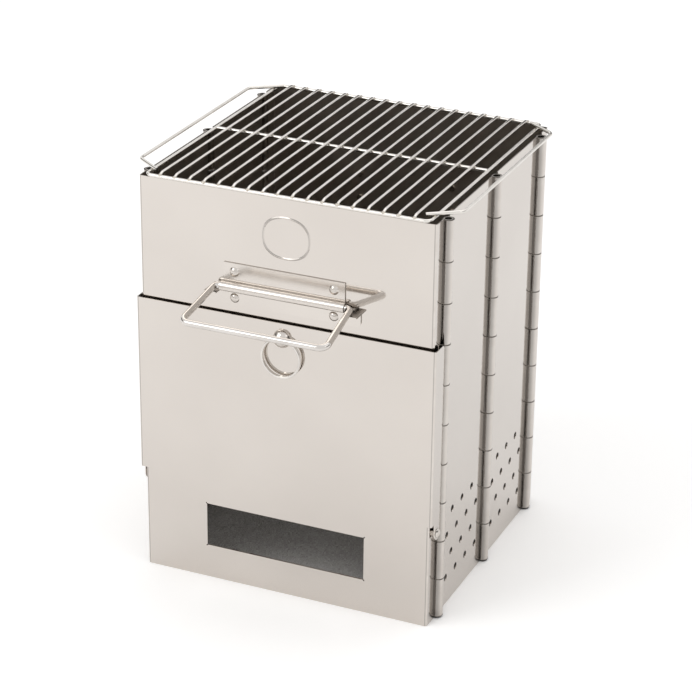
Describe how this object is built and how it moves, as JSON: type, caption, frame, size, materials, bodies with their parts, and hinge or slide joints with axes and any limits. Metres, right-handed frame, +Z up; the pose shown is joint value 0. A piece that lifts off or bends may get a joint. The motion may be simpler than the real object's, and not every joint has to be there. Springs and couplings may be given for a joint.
{
  "type": "wood stove",
  "caption": "Folding wood-burning camp stove: a sheet-steel box on rolled side hinges, with a drop-down fuel door, wire carrying handles, air holes and a lift-off wire grill grate.",
  "frame": {"origin": "on the ground under the middle of the box, which is also the middle of the whole part seen from above", "axes": "+X to the right across the front wall with the fuel door, +Y from the front wall to the rear wall, +Z up to the grate"},
  "size_m": [0.2896, 0.3822, 0.3657],
  "materials": {
    "sheet_steel": "satin",
    "hinge_pins": "satin",
    "bracket_steel": "satin",
    "rivets": "polished",
    "handle_wire": "polished",
    "grate_wire": "polished",
    "ring_steel": "polished"
  },
  "bodies": {
    "rear_wall": {"rear_wall": "sheet_steel", "rear_bracket": "bracket_steel", "rear_bracket_rivets": "rivets", "right_rear_hinge_pin": "hinge_pins", "left_rear_hinge_pin": "hinge_pins"},
    "right_rear_panel": {"right_rear_panel": "sheet_steel", "right_middle_hinge_pin": "hinge_pins"},
    "left_rear_panel": {"left_rear_panel": "sheet_steel", "left_middle_hinge_pin": "hinge_pins"},
    "right_front_panel": {"right_front_panel": "sheet_steel"},
    "left_front_panel": {"left_front_panel": "sheet_steel"},
    "front_wall": {"front_wall": "sheet_steel", "front_bracket": "bracket_steel", "front_bracket_rivets": "rivets", "right_front_hinge_pin": "hinge_pins", "left_front_hinge_pin": "hinge_pins", "door_pivot_rivets": "rivets"},
    "fuel_door": {"fuel_door": "sheet_steel", "ring_eye": "rivets"},
    "pull_ring": {"pull_ring": "ring_steel"},
    "front_handle": {"front_handle": "handle_wire"},
    "rear_handle": {"rear_handle": "handle_wire"},
    "grate": {"grate_frame": "grate_wire", "grate_cross_wire": "grate_wire", "grate_rods": "grate_wire", "grate_left_handle": "grate_wire", "grate_right_handle": "grate_wire"}
  },
  "joints": [
    {"name": "right_rear_hinge", "type": "hinge", "parent": "rear_wall", "child": "right_rear_panel", "pos_m": [0.132, 0.107, 0], "axis": [0, 0, -1], "range_deg": [0, 86]},
    {"name": "right_middle_hinge", "type": "hinge", "parent": "right_rear_panel", "child": "right_front_panel", "pos_m": [0.132, 0, 0], "axis": [0, 0, 1], "range_deg": [0, 172]},
    {"name": "right_front_hinge", "type": "hinge", "parent": "right_front_panel", "child": "front_wall", "pos_m": [0.132, -0.107, 0], "axis": [0, 0, -1], "range_deg": [0, 86]},
    {"name": "left_rear_hinge", "type": "hinge", "parent": "rear_wall", "child": "left_rear_panel", "pos_m": [-0.132, 0.107, 0], "axis": [0, 0, 1], "range_deg": [0, 86]},
    {"name": "left_middle_hinge", "type": "hinge", "parent": "left_rear_panel", "child": "left_front_panel", "pos_m": [-0.132, 0, 0], "axis": [0, 0, -1], "range_deg": [0, 172]},
    {"name": "door_hinge", "type": "hinge", "parent": "front_wall", "child": "fuel_door", "pos_m": [0, -0.118, 0.085], "axis": [1, 0, 0], "range_deg": [0, 90]},
    {"name": "ring_swing", "type": "hinge", "parent": "fuel_door", "child": "pull_ring", "pos_m": [0, -0.135, 0.2405], "axis": [-1, 0, 0], "range_deg": [0, 100]},
    {"name": "front_handle_swing", "type": "hinge", "parent": "front_wall", "child": "front_handle", "pos_m": [0, -0.13208, 0.27764], "axis": [-1, 0, 0], "range_deg": [0, 101]},
    {"name": "rear_handle_swing", "type": "hinge", "parent": "rear_wall", "child": "rear_handle", "pos_m": [0, 0.13208, 0.27764], "axis": [1, 0, 0], "range_deg": [0, 101]},
    {"name": "grate_lift", "type": "slide", "parent": "rear_wall", "child": "grate", "axis": [0, 0, 1], "range_m": [0, 0.06]}
  ],
  "couplings": [
    {"joint": "right_middle_hinge", "follows": "right_rear_hinge", "ratio": 2},
    {"joint": "right_front_hinge", "follows": "right_rear_hinge", "ratio": 1},
    {"joint": "left_rear_hinge", "follows": "right_rear_hinge", "ratio": 1},
    {"joint": "left_middle_hinge", "follows": "right_rear_hinge", "ratio": 2}
  ]
}
